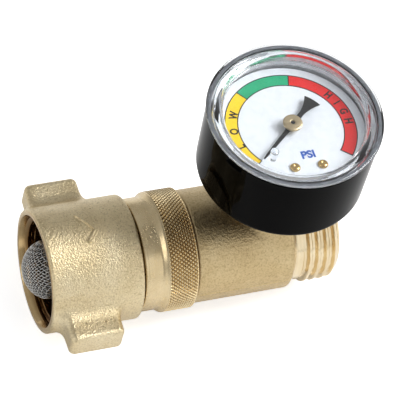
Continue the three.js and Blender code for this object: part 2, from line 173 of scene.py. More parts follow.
def slab(outline, low, high, ease=0.06):
    """A flat outline of [x, y] pairs given thickness, with eased top and bottom edges."""
    outline = np.asarray(outline, float)
    ahead, back = np.roll(outline, -1, 0), np.roll(outline, 1, 0)
    run = ahead - back
    normal = np.stack([run[:, 1], -run[:, 0]], 1)
    normal /= np.linalg.norm(normal, axis=1, keepdims=True)
    area = np.sum(outline[:, 0] * ahead[:, 1] - outline[:, 1] * ahead[:, 0])
    inset = outline - normal * ease * np.sign(area)
    layers = [(inset, low), (outline, low + ease), (outline, high - ease), (inset, high)]
    verts = np.concatenate([np.column_stack([p, np.full(len(p), z)]) for p, z in layers])
    count = len(outline)
    faces = [tuple(range(count))[::-1], tuple(range(3 * count, 4 * count))]
    for layer in range(3):
        for j in range(count):
            k = (j + 1) % count
            faces.append((layer * count + j, layer * count + k,
                          (layer + 1) * count + k, (layer + 1) * count + j))
    return verts, faces


def sweep(path, radius, sides=6, closed=False):
    """A round wire along a path of points."""
    path = np.asarray(path, float)
    if closed:
        run = np.roll(path, -1, 0) - np.roll(path, 1, 0)
    else:
        run = np.gradient(path, axis=0)
    run /= np.linalg.norm(run, axis=1, keepdims=True)
    side = np.cross(run, [0.31, 0.52, 0.8])
    side /= np.linalg.norm(side, axis=1, keepdims=True)
    up = np.cross(run, side)
    turn = np.arange(sides) * TAU / sides
    verts = (path[:, None] + radius * (np.cos(turn)[None, :, None] * side[:, None]
                                       + np.sin(turn)[None, :, None] * up[:, None]))
    count = len(path)
    faces = []
    for i in range(count if closed else count - 1):
        here, there = i * sides, (i + 1) % count * sides
        for j in range(sides):
            k = (j + 1) % sides
            faces.append((here + j, here + k, there + k, there + j))
    if not closed:
        faces += [tuple(range(sides))[::-1], tuple(range((count - 1) * sides, count * sides))]
    return verts.reshape(-1, 3), faces


# ---- cast shapes as distance fields ----
def rounded_box(point, centre, half, ease):
    """Distance to a box with rounded edges."""
    q = [np.abs(p - c) - (h - ease) for p, c, h in zip(point, centre, half)]
    outside = np.sqrt(sum(np.maximum(v, 0) ** 2 for v in q))
    inside = np.minimum(np.maximum.reduce(q), 0)
    return outside + inside - ease


def blend_in(a, b, width):
    """Union of two fields with a fillet of about that width."""
    h = np.maximum(width - np.abs(a - b), 0) / width
    return np.minimum(a, b) - h * h * width / 4


def surface(field, low, high, step):
    """Closed quad mesh of the zero level of a field, by surface nets."""
    axes = [np.arange(a, b + step, step) for a, b in zip(low, high)]
    grid = np.meshgrid(*axes, indexing="ij")
    value = field(*grid)
    solid = value < 0
    size = [n - 1 for n in value.shape]

    def corner(array, offset):
        return array[tuple(slice(o, o + n) for o, n in zip(offset, size))]

    offsets = [(i, j, k) for i in (0, 1) for j in (0, 1) for k in (0, 1)]
    count = sum(corner(solid, o).astype(np.int8) for o in offsets)
    mixed = (count > 0) & (count < 8)
    cells = np.argwhere(mixed)
    number = np.full(mixed.shape, -1, np.int64)
    number[mixed] = np.arange(len(cells))
    total, hits = np.zeros((len(cells), 3)), np.zeros(len(cells))
    unit = np.eye(3, dtype=int)
    for axis in range(3):
        b, c = (axis + 1) % 3, (axis + 2) % 3
        for i in (0, 1):
            for j in (0, 1):
                start = unit[b] * i + unit[c] * j
                va = value[tuple((cells + start).T)]
                vb = value[tuple((cells + start + unit[axis]).T)]
                cross = (va < 0) != (vb < 0)
                t = va[cross] / (va[cross] - vb[cross])
                total[cross] += start + t[:, None] * unit[axis]
                hits[cross] += 1
    verts = np.array(low) + step * (cells + total / hits[:, None])
    faces = []
    for axis in range(3):
        b, c = (axis + 1) % 3, (axis + 2) % 3
        keep = [slice(None)] * 3
        keep[axis] = slice(0, -1)
        ahead = [slice(None)] * 3
        ahead[axis] = slice(1, None)
        here, there = solid[tuple(keep)], solid[tuple(ahead)]
        edges = np.argwhere(here != there)
        flip = here[tuple(edges.T)]
        quad = [number[tuple((edges - unit[b] * i - unit[c] * j).T)]
                for i, j in ((1, 1), (0, 1), (0, 0), (1, 0))]
        quad = np.stack(quad, 1)
        quad[~flip] = quad[~flip][:, ::-1]
        faces += quad.tolist()
    small = step * 0.2
    for _ in range(3):
        here = field(*verts.T)
        slope = np.stack([(field(*(verts + unit[a] * small).T)
                           - field(*(verts - unit[a] * small).T)) / (2 * small)
                          for a in range(3)], 1)
        square = np.maximum(np.sum(slope * slope, 1), 0.2)
        move = -here[:, None] * slope / square[:, None]
        verts = verts + np.clip(move, -step / 2, step / 2)
    return verts, faces


# ---- materials ----
class Looks:
    """Small builder for a procedural material in object space."""

    def __init__(self, name):
        self.material = bpy.data.materials.new(name)
        self.material.use_nodes = True
        self.tree = self.material.node_tree
        self.tree.nodes.clear()
        self.out = self.node("ShaderNodeOutputMaterial")
        self.shader = self.node("ShaderNodeBsdfPrincipled")
        self.link(self.shader.outputs[0], self.out.inputs["Surface"])
        self.place = self.node("ShaderNodeTexCoord").outputs["Object"]

    def node(self, kind):
        return self.tree.nodes.new(kind)

    def link(self, source, target):
        self.tree.links.new(source, target)

    def stretch(self, scale, move=(0, 0, 0)):
        """Object space scaled and then moved, the move in millimetres."""
        mapping = self.node("ShaderNodeMapping")
        mapping.inputs["Scale"].default_value = scale
        mapping.inputs["Location"].default_value = [v * MM for v in move]
        self.link(self.place, mapping.inputs["Vector"])
        return mapping.outputs[0]

    def noise(self, scale, detail=3.0, rough=0.55, place=None):
        texture = self.node("ShaderNodeTexNoise")
        texture.inputs["Scale"].default_value = scale
        texture.inputs["Detail"].default_value = detail
        texture.inputs["Roughness"].default_value = rough
        self.link(place or self.place, texture.inputs["Vector"])
        return texture.outputs["Fac"]

    def grains(self, scale):
        texture = self.node("ShaderNodeTexVoronoi")
        texture.inputs["Scale"].default_value = scale
        self.link(self.place, texture.inputs["Vector"])
        return texture.outputs["Distance"]

    def ramp(self, source, stops):
        ramp = self.node("ShaderNodeValToRGB")
        while len(ramp.color_ramp.elements) < len(stops):
            ramp.color_ramp.elements.new(0.5)
        for element, (at, colour) in zip(ramp.color_ramp.elements, stops):
            element.position = at
            element.color = (*colour, 1)
        self.link(source, ramp.inputs[0])
        return ramp.outputs[0]

    def spread(self, source, low, high, from_low=0.3, from_high=0.7):
        """The source's usual range mapped onto low to high."""
        remap = self.node("ShaderNodeMapRange")
        remap.inputs["From Min"].default_value = from_low
        remap.inputs["From Max"].default_value = from_high
        remap.inputs["To Min"].default_value = low
        remap.inputs["To Max"].default_value = high
        self.link(source, remap.inputs["Value"])
        return remap.outputs[0]

    def mix(self, a, b, share, mode="MIX"):
        mixer = self.node("ShaderNodeMix")
        mixer.data_type = "RGBA"
        mixer.blend_type = mode
        colours = [s for s in mixer.inputs if s.type == "RGBA"]
        if isinstance(share, float):
            mixer.inputs[0].default_value = share
        else:
            self.link(share, mixer.inputs[0])
        self.link(a, colours[0])
        self.link(b, colours[1])
        return next(s for s in mixer.outputs if s.type == "RGBA")

    def colour(self, source):
        self.link(source, self.shader.inputs["Base Color"])

    def roughness(self, source):
        self.link(source, self.shader.inputs["Roughness"])

    def bump(self, *layers):
        """Each layer is (height source, strength, depth in millimetres)."""
        normal = None
        for source, strength, depth in layers:
            bump = self.node("ShaderNodeBump")
            bump.inputs["Strength"].default_value = strength
            bump.inputs["Distance"].default_value = depth * MM
            self.link(source, bump.inputs["Height"])
            if normal:
                self.link(normal, bump.inputs["Normal"])
            normal = bump.outputs[0]
        self.link(normal, self.shader.inputs["Normal"])

    def set(self, **values):
        """Fixed values of the shader's own inputs, with _ for each space in a name."""
        for key, value in values.items():
            self.shader.inputs[key.replace("_", " ")].default_value = value


def rgb(red, green, blue):
    """An sRGB colour, 0 to 255, as linear values."""
    return tuple((v / 255 / 12.92) if v < 11 else ((v / 255 + 0.055) / 1.055) ** 2.4
                 for v in (red, green, blue))


def cast_metal(name, dark, middle, light, grain=1.0, rough=(0.34, 0.5)):
    """Sand cast brass: blasted grain over slow colour changes."""
    looks = Looks(name)
    patches = looks.noise(110, 3, 0.5)
    base = looks.ramp(patches, [(0.25, dark), (0.5, middle), (0.75, light)])
    speck = looks.noise(2100, 3, 0.7)
    tint = looks.ramp(speck, [(0.36, (0.64, 0.59, 0.52)), (0.47, (0.9, 0.88, 0.85)),
                              (0.6, (1, 1, 1))])
    looks.colour(looks.mix(base, tint, 0.8, "MULTIPLY"))
    looks.roughness(looks.spread(looks.noise(1400, 3), *rough))
    looks.bump((looks.noise(420, 3), 0.3, 0.06 * grain),
               (looks.noise(1700, 4, 0.7), 1.0, 0.14 * grain),
               (looks.grains(2400), 0.8, 0.1 * grain))
    looks.set(Metallic=1.0)
    return looks.material


def turned_metal(name, dark, light, lines=(1, 0.02, 0.02), rough=(0.14, 0.24), depth=0.006,
                 painted_shade=None):
    """Turned metal: fine tool marks across the lines direction, a few stains.

    The last argument, if given, paints shade into the colour by place: darker in grooves and deep bores
    where light doesn't reach.
    It is given as a scale and a move for each axis, the distances in millimetres where it is darkest
    and where it ends, and its tint.
    """
    looks = Looks(name)
    marks = looks.noise(9000, 3, 0.6, looks.stretch(lines))
    wide = looks.noise(1500, 2, 0.5, looks.stretch(lines))
    stain = looks.noise(200, 3, 0.5)
    base = looks.ramp(stain, [(0.2, dark), (0.75, light)])
    streak = looks.ramp(wide, [(0.3, (0.88, 0.86, 0.83)), (0.65, (1, 1, 1))])
    metal = looks.mix(base, streak, 0.8, "MULTIPLY")
    # painted shade: the colour is multiplied towards the tint by distance from a place, for grooves and
    # bores
    if painted_shade:
        scale, move, darkest, unshaded, tint = painted_shade
        away = looks.node("ShaderNodeVectorMath")
        away.operation = "LENGTH"
        looks.link(looks.stretch(scale, move), away.inputs[0])
        reach = looks.spread(away.outputs["Value"], 0, 1, darkest * MM, unshaded * MM)
        metal = looks.mix(metal, looks.ramp(reach, [(0, tint), (1, (1, 1, 1))]), 1.0, "MULTIPLY")
    looks.colour(metal)
    looks.roughness(looks.spread(looks.noise(700, 3), *rough))
    looks.bump((marks, 0.5, depth), (wide, 0.4, depth * 2))
    looks.set(Metallic=1.0)
    return looks.material


def plain(name, dark, light, rough, metallic=0.0, scale=600, depth=0.02, **extra):
    """A painted, moulded, printed or rubber finish with slight mottling."""
    looks = Looks(name)
    looks.colour(looks.ramp(looks.noise(scale, 4), [(0.3, dark), (0.7, light)]))
    looks.roughness(looks.spread(looks.noise(scale * 1.7, 3), *rough))
    looks.bump((looks.noise(scale * 2.3, 3), 0.4, depth))
    looks.set(Metallic=metallic, **extra)
    return looks.material


# the inlet screen's dome, whose size its wire finish also needs
SCREEN_RADIUS, SCREEN_BASE, SCREEN_RISE = 7.1, 3.3, 6.2
DOME_FLATTEN = SCREEN_RADIUS / SCREEN_RISE
MESH_PITCH, WIRE, WEAVE = 0.6, 0.1, 0.085

nut_cast = cast_metal("nut cast brass", rgb(216, 197, 156), rgb(228, 211, 172), rgb(238, 224, 190),
                      rough=(0.26, 0.4))
body_cast = cast_metal("body cast brass", rgb(196, 173, 130), rgb(207, 185, 141),
                       rgb(216, 196, 154), grain=0.7, rough=(0.3, 0.44))
# painted shade: the lining darkens from 0.6 mm to 2.2 mm into the mouth, standing in for the unlit bore
nut_machined = turned_metal("machined nut brass", rgb(198, 168, 118), rgb(222, 196, 150),
                            painted_shade=((1, 0, 0), (0, 0, 0), 2.2, 0.6, (0.36, 0.27, 0.19)))
nut_end_brass = turned_metal("nut end brass", rgb(206, 176, 124), rgb(228, 202, 154))
neck_brushed = turned_metal("brushed neck brass", rgb(214, 192, 148), rgb(232, 213, 174),
                             rough=(0.24, 0.32), depth=0.004)
# painted shade: the knurl's grooves are coloured darker towards their bottoms
knurl_brass = turned_metal("knurled brass", rgb(222, 196, 148), rgb(242, 223, 182),
                           rough=(0.16, 0.28),
                           painted_shade=((0, 1, 1), (0, 0, 0), 14.55, 14.85, (0.28, 0.2, 0.11)))
thread_brass = turned_metal("outlet thread brass", rgb(227, 206, 166), rgb(243, 228, 196))
hub_brass = turned_metal("hub brass", rgb(190, 172, 138), rgb(206, 188, 154),
                         lines=(0.02, 1, 0.02), rough=(0.34, 0.44))
hidden_brass = turned_metal("inner turned brass", rgb(206, 170, 104), rgb(232, 200, 138),
                            lines=(0.03, 0.03, 1))
bronze = turned_metal("spring bronze", rgb(170, 116, 62), rgb(206, 150, 92), rough=(0.2, 0.34))
steel = turned_metal("stainless steel", rgb(168, 168, 170), rgb(214, 214, 216),
                     lines=(0.05, 0.05, 1), rough=(0.16, 0.3))
# painted shade: the dome's wires turn near black on their inner side and where they dip under the weave
wire_steel = turned_metal("screen wire", rgb(226, 225, 222), rgb(246, 245, 242),
                          rough=(0.24, 0.36),
                          painted_shade=((DOME_FLATTEN, 1, 1), (-SCREEN_BASE * DOME_FLATTEN, 0, 0),
                                 SCREEN_RADIUS - 0.02, SCREEN_RADIUS + 0.11, (0.02, 0.02, 0.02)))
rubber = plain("black rubber", rgb(14, 14, 15), rgb(30, 30, 31), (0.55, 0.75), depth=0.05)
case_black = plain("black case enamel", rgb(0, 0, 0), rgb(2, 2, 2), (0.04, 0.08), scale=220,
                   depth=0.004, IOR=1.5, Specular_IOR_Level=0.025)
silicone = plain("milky silicone", rgb(72, 75, 80), rgb(98, 101, 106), (0.3, 0.45), depth=0.01)
case_plated = plain("plated case wall", rgb(176, 179, 184), rgb(205, 207, 211), (0.35, 0.5),
                    depth=0.006)
pointer_black = plain("pointer paint", rgb(3, 3, 3), rgb(8, 8, 8), (0.35, 0.5), depth=0.01)
dial_white = plain("dial enamel", rgb(208, 212, 216), rgb(217, 220, 224), (0.4, 0.5), depth=0.004)
band_yellow = plain("yellow ink", rgb(226, 186, 8), rgb(235, 197, 16), (0.4, 0.5), depth=0.003)
band_green = plain("green ink", rgb(2, 146, 98), rgb(8, 156, 108), (0.4, 0.5), depth=0.003)
band_red = plain("red ink", rgb(202, 6, 4), rgb(212, 12, 9), (0.4, 0.5), depth=0.003)
ink_black = plain("black ink", rgb(4, 4, 4), rgb(9, 9, 9), (0.4, 0.5), depth=0.003)
ink_blue = plain("blue ink", rgb(20, 74, 158), rgb(30, 88, 172), (0.4, 0.5), depth=0.003)


def clear_plastic():
    """Moulded polycarbonate that lets light through to the dial."""
    looks = Looks("clear polycarbonate")
    looks.colour(looks.ramp(looks.noise(90, 3), [(0.3, (0.95, 0.97, 0.985)),
                                                 (0.7, (0.985, 0.99, 1.0))]))
    looks.roughness(looks.spread(looks.noise(400, 3), 0.004, 0.02))
    looks.bump((looks.noise(60, 2), 0.15, 0.02))
    looks.set(Transmission_Weight=1.0, IOR=1.5)
    see_through = looks.node("ShaderNodeBsdfTransparent")
    see_through.inputs[0].default_value = (0.93, 0.94, 0.95, 1)
    path = looks.node("ShaderNodeLightPath")
    mixer = looks.node("ShaderNodeMixShader")
    looks.link(path.outputs["Is Shadow Ray"], mixer.inputs[0])
    looks.link(looks.shader.outputs[0], mixer.inputs[1])
    looks.link(see_through.outputs[0], mixer.inputs[2])
    looks.link(mixer.outputs[0], looks.out.inputs["Surface"])
    return looks.material


lens_clear = clear_plastic()


# ---- threads and knurl ----
def ridge(phase, flat=0.12, foot=0.36):
    """Height from 0 to 1 of a thread ridge centred on whole values of phase."""
    away = np.abs((phase + 0.5) % 1 - 0.5)
    t = np.clip((foot - away) / (foot - flat), 0, 1)
    return t * t * (3 - 2 * t) * 0.4 + t * 0.6


def ramp_up(value, low, high):
    """A smooth step from 0 at low to 1 at high."""
    t = np.clip((value - low) / (high - low), 0, 1)
    return t * t * (3 - 2 * t)


def run_of(start, end, radius, step):
    """Evenly spaced profile points from start to end at one radius."""
    count = max(2, int(round(abs(end - start) / step)) + 1)
    return [(x, radius) for x in np.linspace(start, end, count)]


# ---- inlet nut ----
NUT_BORE = 13.45             # root of the female thread
WING_MIDDLE = (9.55, 16.4)   # along the flow axis and outwards from it
WING_HALF = (6.85, 6.45, 3.7)
WING_EDGE = 1.5
FLOW_MARK = (((9.5, 74), (13.05, 94), 0.5), ((13.05, 94), (10.8, 104), 0.8))


def nut_skin(x, y, z):
    """Barrel, two wings and the raised flow mark, whose legs run between (x, degrees) pairs."""
    radius = np.sqrt(y * y + z * z)
    barrel = rounded_box((x, radius), ((NUT_END + 0.1) / 2, 12.0), ((NUT_END - 0.1) / 2, 3.45), 0.5)
    out = np.abs(y * math.cos(WING_ANGLE) + z * math.sin(WING_ANGLE))
    side = -y * math.sin(WING_ANGLE) + z * math.cos(WING_ANGLE)
    # each wing is a little narrower at its tip than at its root
    half_long = WING_HALF[0] - 0.02 * np.clip(out - 15, 0, 8)
    wing = rounded_box((x, out, side), (*WING_MIDDLE, 0), (half_long, *WING_HALF[1:]), WING_EDGE)
    shape = blend_in(barrel, wing, 3.6)
    angle = np.arctan2(z, y)
    for (xa, ta), (xb, tb), wide in FLOW_MARK:
        ax, ay = xa, math.radians(ta) * NUT_RADIUS
        bx, by = xb, math.radians(tb) * NUT_RADIUS
        px, py = x - ax, angle * NUT_RADIUS - ay
        dx, dy = bx - ax, by - ay
        t = np.clip((px * dx + py * dy) / (dx * dx + dy * dy), 0, 1)
        leg = np.hypot(px - t * dx, py - t * dy) - wide / 2
        leg = np.maximum(leg, np.abs(radius - NUT_RADIUS) - 0.42)
        shape = blend_in(shape, leg, 0.14)
    return np.maximum(shape, NUT_SLEEVE - radius)


make("nut_casting", *surface(nut_skin, (-0.6, -23.6, -16.2), (24.2, 23.6, 16.2), 0.25),
     nut_cast, "nut", "cast_brass", ["inlet_nut"], sharp=60)


def nut_thread(along, radius, theta):
    """Female thread cut into the part of the outline that lies at the bore's radius."""
    phase = (along - 1.9) / THREAD_PITCH - theta / TAU
    fade = ramp_up(along, 1.3, 2.6) * (1 - ramp_up(along, 11.6, 12.5))
    cut = NUT_BORE - 1.1 * ridge(phase) * fade
    return np.where(np.abs(radius - NUT_BORE) < 1e-6, cut, radius)


nut_lining = (eased([(1.35, NUT_BORE), (0, 13.95), (0, 14.9), (0.7, 14.9), (0.7, NUT_SLEEVE),
                     (21.9, NUT_SLEEVE), (21.9, 12.6), (20, 12.6), (20, 9.6), (17.4, 9.6),
                     (17.4, 12.9), (12.6, 12.9), (12.55, 13.4)], 0.14, closed=False)
              + run_of(12.5, 1.4, NUT_BORE, 0.11))
make("nut_lining", *revolve(nut_lining, 192, shape=nut_thread),
     nut_machined, "nut", "cast_brass", ["inlet_nut"])
make("nut_rear_ring", *revolve(eased([
    (21.95, 13.93), (NUT_END, 13.93), (NUT_END + 0.1, 13.6), (NUT_END, 12.6),
    (21.95, 12.6)], 0.12), 192),
     nut_end_brass, "nut", "cast_brass", ["inlet_nut"])

# ---- washer, screen and tailpiece ----
make("hose_washer", *revolve(eased([(11.2, 7.9), (13.7, 7.9), (13.7, 12.0), (11.2, 12.0)], 0.45), 128),
     rubber, "valve", "rubber", ["hose_washer"])

SCREEN_SEAT = 13.7           # where the screen's straight side meets its rim


def woven_dome():
    """Two crossing sets of wires over the dome, each passing over and under the other."""
    pieces = []
    reach = int(SCREEN_RADIUS / MESH_PITCH)
    for family in (0, 1):
        for i in range(-reach, reach + 1):
            level = i * MESH_PITCH
            half = math.sqrt(max(SCREEN_RADIUS ** 2 - level ** 2, 0))
            if half < 0.8:
                continue
            turn = np.linspace(-math.pi / 2, math.pi / 2, max(9, int(half / MESH_PITCH * 7)))
            along = half * np.sin(turn)
            height = np.sqrt(np.maximum(SCREEN_RADIUS ** 2 - level ** 2 - along ** 2, 0))
            x = SCREEN_BASE - height / DOME_FLATTEN
            flat = np.full_like(along, level)
            y, z = (flat, along) if family == 0 else (along, flat)
            normal = np.stack([(x - SCREEN_BASE) * DOME_FLATTEN, y, z], 1)
            normal /= np.linalg.norm(normal, axis=1, keepdims=True)
            sign = 1 if family == 0 else -1
            wave = sign * WEAVE * np.cos(math.pi * (along / MESH_PITCH + i))
            path = np.stack([x, y, z], 1) + normal * wave[:, None]
            pieces.append(sweep(path, WIRE, 5))
    rows = int((SCREEN_SEAT - SCREEN_BASE) / MESH_PITCH)
    around = 80
    for k in range(around):
        angle = TAU * k / around
        x = np.linspace(SCREEN_BASE, SCREEN_SEAT, rows * 3)
        radius = SCREEN_RADIUS + WEAVE * np.cos(math.pi * ((x - SCREEN_BASE) / MESH_PITCH + k))
        pieces.append(sweep(np.stack([x, radius * math.cos(angle), radius * math.sin(angle)], 1),
                            WIRE, 4))
    for row in range(rows + 1):
        angle = np.arange(around * 3) * TAU / (around * 3)
        radius = SCREEN_RADIUS - WEAVE * np.cos(math.pi * (angle / TAU * around + row))
        x = np.full_like(angle, SCREEN_BASE + row * MESH_PITCH)
        pieces.append(sweep(np.stack([x, radius * np.cos(angle), radius * np.sin(angle)], 1),
                            WIRE, 4, closed=True))
    return join(*pieces)


make("screen_mesh", *woven_dome(), wire_steel, "valve", "stainless", ["inlet_screen"], sharp=80)
make("screen_rim", *revolve(eased([(13.75, 6.9), (14.1, 6.9), (14.1, 11.0), (13.75, 11.0)], 0.08), 128),
     steel, "valve", "stainless", ["inlet_screen"])
make("swivel_tailpiece", *revolve(eased([
    (14.4, 6.8), (14.4, 11.9), (17.1, 11.9), (17.1, 9.3), (28.7, 9.3), (28.7, 6.8)], 0.15), 128),
     hidden_brass, "valve", "turned_brass", ["swivel_tailpiece"])

# ---- inlet adapter: brushed neck and knurled collar ----
KNURL_START, KNURL_END, KNURL_RADIUS = 29.95, 36.95, 15.02
KNURL_AROUND = 92
KNURL_PITCH = 1.16
KNURL_DEPTH = 0.48


def knurl(along, radius, theta):
    """Diamonds left between two crossing sets of helical grooves."""
    turn = theta / TAU * KNURL_AROUND
    step = (along - KNURL_START) / KNURL_PITCH
    ridges = [1 - 2 * np.abs((phase % 1) - 0.5) for phase in (turn + step, turn - step)]
    height = np.minimum(*ridges)
    height = np.clip(height * 1.9, 0, 0.95) / 0.95
    fade = ramp_up(along, KNURL_START - 0.05, KNURL_START + 0.3)
    fade = fade * (1 - ramp_up(along, KNURL_END - 0.3, KNURL_END + 0.05))
    on_collar = np.abs(radius - KNURL_RADIUS) < 1e-6
    return np.where(on_collar, radius - KNURL_DEPTH * (1 - height) * fade, radius)


NECK_SEAM = 29.75
neck = eased([(NECK_SEAM, 9.6), (23.9, 9.6), (23.9, 13.75), (24.15, 14.0), (24.75, 14.0), (24.9, 14.06),
              (28.2, 14.06), (28.6, 14.2), (29.2, 14.72), (29.55, 14.95), (NECK_SEAM, 14.98)], 0.22)
make("adapter_neck", *revolve(neck, 192), neck_brushed, "valve", "turned_brass", ["inlet_adapter"])
collar = ([(NECK_SEAM, 9.65), (NECK_SEAM, 14.95)]
          + run_of(KNURL_START, KNURL_END, KNURL_RADIUS, KNURL_PITCH / 10)
          + eased([(KNURL_END + 0.05, 15.0), (37.2, 14.75), (37.2, 11.6), (39.9, 11.6), (39.9, 10.3),
                   (41.4, 10.3), (41.4, 11.6), (42.5, 11.6), (42.5, 6.2), (36.4, 6.2),
                   (36.4, 8.6), (30.2, 8.6)], 0.12, closed=False))
make("adapter_collar", *revolve(collar, KNURL_AROUND * 8, shape=knurl),
     knurl_brass, "valve", "turned_brass", ["inlet_adapter"], sharp=24)


# ---- valve body ----
def body_skin(x, y, z):
    """Barrel with the gauge's boss and port, the flash line and a vent underneath."""
    radius = np.sqrt(y * y + z * z)
    barrel = rounded_box((x, radius), ((62.6 + BODY_START) / 2, 7.06),
                         ((62.6 - BODY_START) / 2, 7.06), 0.7)
    from_stem = np.sqrt((x - GAUGE_X) ** 2 + y * y)
    wide = 7.4 - 1.1 * ramp_up(z, 14.6, 17.2)
    boss = np.maximum(from_stem - wide, np.abs(z - 13.7) - 5.7)
    shape = blend_in(barrel, boss, 2.2)
    # the flash line left where the two halves of the mould met
    height = radius * np.sin(np.arctan2(z, -y) - math.radians(-5.5))
    flash = np.hypot(height, np.maximum(radius - BODY_RADIUS - 0.02, 0) * 1.4) - 0.22
    flash = np.maximum(flash, np.maximum(38.6 - x, x - 61.4))
    flash = np.maximum(flash, y)
    shape = blend_in(shape, flash, 0.3)
    port = np.maximum(from_stem - 5.35, 11 - z)
    vent = np.maximum(np.hypot(x - 48, y) - 0.8, z + 9)
    return np.maximum(np.maximum(shape, 12.0 - radius), np.maximum(-port, -vent))


make("body_casting", *surface(body_skin, (36.8, -15.2, -15.2), (66.6, 15.2, 20.2), 0.26),
     body_cast, "valve", "cast_brass", ["valve_body"], sharp=60)


OUTLET_ROOT = 12.3


def outlet_thread(along, radius, theta):
    """Male thread raised on the part of the outline that lies at the root's radius."""
    phase = (along - 65.98) / THREAD_PITCH - theta / TAU
    fade = ramp_up(along, 65.0, 66.2)
    cut = OUTLET_ROOT + 1.12 * ridge(phase) * fade
    cut = np.minimum(cut, 11.85 + np.maximum(74.95 - along, 0) * 0.95)
    return np.where(np.abs(radius - OUTLET_ROOT) < 1e-6, cut, radius)


outlet = (eased([(62.2, 12.05), (62.2, 13.15), (62.95, 13.0), (63.2, 12.45), (63.6, OUTLET_ROOT)], 0.15,
                closed=False)
          + run_of(63.7, 74.95, OUTLET_ROOT, 0.1)
          + eased([(BODY_END, 11.7), (BODY_END, 9.2), (56.0, 9.2), (56.0, 10.4), (43.3, 10.4),
                   (43.3, 11.85), (37.5, 11.85), (37.5, 12.05)], 0.1, closed=False))
make("outlet_thread", *revolve(outlet, 240, shape=outlet_thread),
     thread_brass, "valve", "cast_brass", ["valve_body"])

# ---- gauge case ----
CASE_RADIUS, CASE_RIM, CASE_WALL = 20.65, 21.15, 1.1
CASE_CORNER = 1.6            # rounding between the wall and the back
CRIMPS = (-151, -31, 89)
CRIMP_Z = CASE_TOP - 1.15
CRIMP_DEPTH = 0.75


def crimped(along, radius, theta):
    """Pressed dents just below the rim, which hold the window."""
    outer = radius > CASE_RADIUS - 0.6
    dent = 0
    for angle in CRIMPS:
        away = np.abs((theta - math.radians(angle) + math.pi) % TAU - math.pi) * CASE_RIM
        dent = dent + (1 - ramp_up(away, 1.7, 2.5)) * (1 - ramp_up(np.abs(along - CRIMP_Z), 0.35, 0.8))
    return np.where(outer, radius - CRIMP_DEPTH * dent, radius)


inner = CASE_RADIUS - CASE_WALL
case_outline = (eased([(CASE_BACK + CASE_WALL, 5.8), (CASE_BACK, 5.8), (CASE_BACK, 19.15)], 0.15,
                      closed=False)
                + [(CASE_BACK + CASE_CORNER * (1 - math.cos(t)), 19.05 + CASE_CORNER * math.sin(t))
                   for t in np.linspace(0.1, math.pi / 2, 9)]
                + [(z, CASE_RADIUS + (CASE_RIM - CASE_RADIUS) * (z - 29) / (CASE_TOP - 29))
                   for z in np.concatenate([np.linspace(29.6, CRIMP_Z - 1.5, 20),
                                         np.linspace(CRIMP_Z - 1.3, CRIMP_Z + 1, 25)])]
                + [(CASE_TOP - 0.08, CASE_RIM - 0.03), (CASE_TOP, CASE_RIM - 0.14),
                   (CASE_TOP, CASE_RIM - 0.9), (CASE_TOP - 0.1, CASE_RIM - 1.02),
                   (CASE_TOP - 0.6, inner + 0.45), (CASE_BACK + 2.4, inner),
                   (CASE_BACK + 1.5, inner - 0.3), (CASE_BACK + CASE_WALL, inner - 0.9)])
make("gauge_case", *revolve(case_outline, 288, shape=crimped, centre=(GAUGE_X, 0)),
     case_black, "valve", "black_case", ["gauge_case"])
# the enamel stops at the rim, so the wall behind the dial is bare plated steel
make("case_inside", *revolve(eased([
    (CASE_TOP - 0.7, inner + 0.39), (CASE_TOP - 0.7, inner + 0.5), (CASE_BACK + 2.6, inner + 0.05),
    (CASE_BACK + 2.6, inner - 0.04)], 0.02), 192, centre=(GAUGE_X, 0)),
     case_plated, "valve", "black_case", ["gauge_case"])


# ---- window with its stop pin ----
STOP_PIN_REACH = 11.2
STOP_PIN_TURN = math.radians(POINTER_REST + 7.2)


def lens_solid():
    """The window with its raised rim, and the pin moulded under it."""
    outline = eased([(46.2, 0), (46.2, 17.75), (44.5, 18.0), (44.4, 19.3), (48.55, 19.5),
                     (48.55, 21.42), (49.0, 21.46), (LENS_TOP, 21.05), (LENS_TOP, 19.4),
                     (49.0, 18.1), (48.55, 17.6), (47.7, 17.2), (47.7, 0)], 0.25, closed=False,
                    steps=5)
    stop = (GAUGE_X + STOP_PIN_REACH * math.cos(STOP_PIN_TURN),
            STOP_PIN_REACH * math.sin(STOP_PIN_TURN))
    pin = eased([(43.1, 0), (43.1, 0.95), (46.9, 0.98), (46.9, 0)], 0.15, closed=False)
    return (revolve(outline, 224, closed=False, centre=(GAUGE_X, 0)),
            revolve(pin, 40, closed=False, centre=stop))


lens_body, lens_pin = lens_solid()
make("window", *lens_body, lens_clear, "valve", "clear_lens", ["lens"], sharp=40)
make("window_stop_pin", *lens_pin, lens_clear, "valve", "clear_lens", ["lens"], sharp=40)
make("lens_gasket", *revolve(eased([(48.1, 20.1), (48.1, 20.9), (48.45, 20.9), (48.45, 20.1)], 0.1),
                             160, centre=(GAUGE_X, 0)),
     silicone, "valve", "rubber", ["lens_gasket"])

# ---- dial, bands and letters ----
DIAL_SCREWS = ((-2.9, -11.7), (4.1, -12.0))
PRINT = 0.025                # thickness of one layer of ink
CAPITALS = 2.15


def arc_strip(inner_radius, outer_radius, start, end, low, high):
    """A flat strip between two radii and two angles, in degrees about the gauge axis."""
    count = max(2, int(abs(end - start) / 1.5))
    turn = np.radians(np.linspace(start, end, count + 1))
    ring = np.concatenate([
        np.stack([outer_radius * np.cos(turn), outer_radius * np.sin(turn)], 1),
        np.stack([inner_radius * np.cos(turn), inner_radius * np.sin(turn)], 1)])
    ring[:, 0] += GAUGE_X
    layers = [np.column_stack([ring, np.full(len(ring), z)]) for z in (low, high)]
    half, whole = count + 1, 2 * (count + 1)
    faces = []
    for i in range(count):
        faces.append((i, i + 1, half + i + 1, half + i))
        faces.append((whole + i, whole + half + i, whole + half + i + 1, whole + i + 1))
        faces.append((i, whole + i, whole + i + 1, i + 1))
        faces.append((half + i, half + i + 1, whole + half + i + 1, whole + half + i))
    for i in (0, count):
        faces.append((i, half + i, whole + half + i, whole + i))
    return np.concatenate(layers), faces


